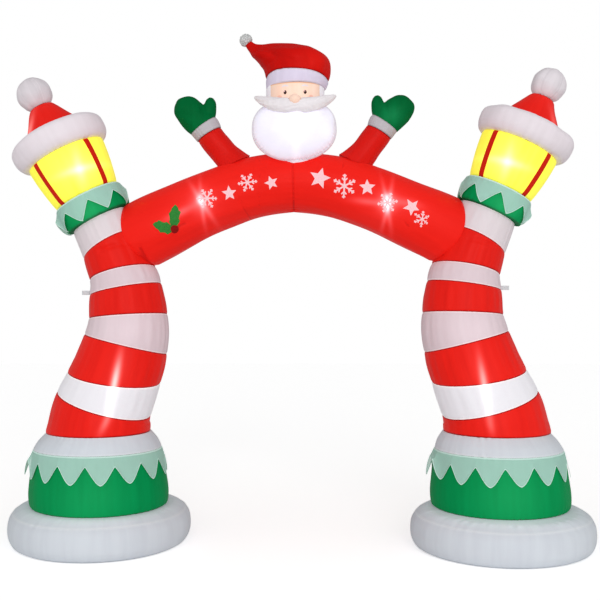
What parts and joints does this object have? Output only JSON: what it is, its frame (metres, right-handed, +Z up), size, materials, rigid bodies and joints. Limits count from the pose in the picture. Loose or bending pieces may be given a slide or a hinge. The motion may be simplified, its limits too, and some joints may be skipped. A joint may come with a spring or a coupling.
{
  "type": "inflatable arch",
  "caption": "Walk-through inflatable arch: striped fabric lamp columns on broad feet, a tube between them and a bearded figure in a bobble cap on top.",
  "frame": {"origin": "on the ground, half way between the outermost points of the two feet", "axes": "+X to the viewer's right along the arch, -Y towards the viewer (the front), +Z up"},
  "size_m": [2.99, 1.071, 2.6194],
  "materials": {
    "red_cloth": "smooth woven nylon, satin, lit from inside",
    "white_cloth": "smooth woven nylon, satin, lit from inside",
    "grey_white_cloth": "smooth woven nylon, satin",
    "green_cloth": "smooth woven nylon, satin",
    "yellow_cloth": "smooth woven nylon, brightly lit from inside",
    "sheer_cloth": "thin translucent nylon",
    "skin_cloth": "smooth woven nylon, satin",
    "silver_grey_cloth": "brushed felt-like cloth",
    "webbing": "narrow woven webbing"
  },
  "bodies": {
    "root": {"arch_tube_left": "red_cloth", "arch_tube_right": "red_cloth", "arm_left": "red_cloth", "arm_right": "red_cloth", "base_drum_left": "green_cloth", "base_drum_right": "green_cloth", "base_foot_left": "grey_white_cloth", "base_foot_right": "grey_white_cloth", "base_shoulder_left": "grey_white_cloth", "base_shoulder_right": "grey_white_cloth", "base_valance_left": "sheer_cloth", "base_valance_right": "sheer_cloth", "cap_band": "white_cloth", "cap_bobble": "silver_grey_cloth", "collar_drum_left": "green_cloth", "collar_drum_right": "green_cloth", "collar_valance_left": "sheer_cloth", "collar_valance_right": "sheer_cloth", "column_red_1_left": "red_cloth", "column_red_1_right": "red_cloth", "column_red_2_left": "red_cloth", "column_red_2_right": "red_cloth", "column_red_3_left": "red_cloth", "column_red_3_right": "red_cloth", "column_red_4_left": "red_cloth", "column_red_4_right": "red_cloth", "column_white_1_left": "white_cloth", "column_white_1_right": "white_cloth", "column_white_2_left": "white_cloth", "column_white_2_right": "white_cloth", "column_white_3_left": "white_cloth", "column_white_3_right": "white_cloth", "column_white_4_left": "white_cloth", "column_white_4_right": "white_cloth", "cuff_left": "grey_white_cloth", "cuff_right": "grey_white_cloth", "figure_beard": "white_cloth", "figure_cap": "red_cloth", "figure_face": "skin_cloth", "figure_head": "white_cloth", "figure_moustache": "silver_grey_cloth", "figure_nose": "skin_cloth", "lamp_bobble_left": "white_cloth", "lamp_bobble_right": "white_cloth", "lamp_brim_left": "white_cloth", "lamp_brim_right": "white_cloth", "lamp_cone_left": "red_cloth", "lamp_cone_right": "red_cloth", "lantern_left": "yellow_cloth", "lantern_right": "yellow_cloth", "mitten_left": "green_cloth", "mitten_right": "green_cloth", "tether_loop_left": "webbing", "tether_loop_right": "webbing"}
  },
  "joints": []
}
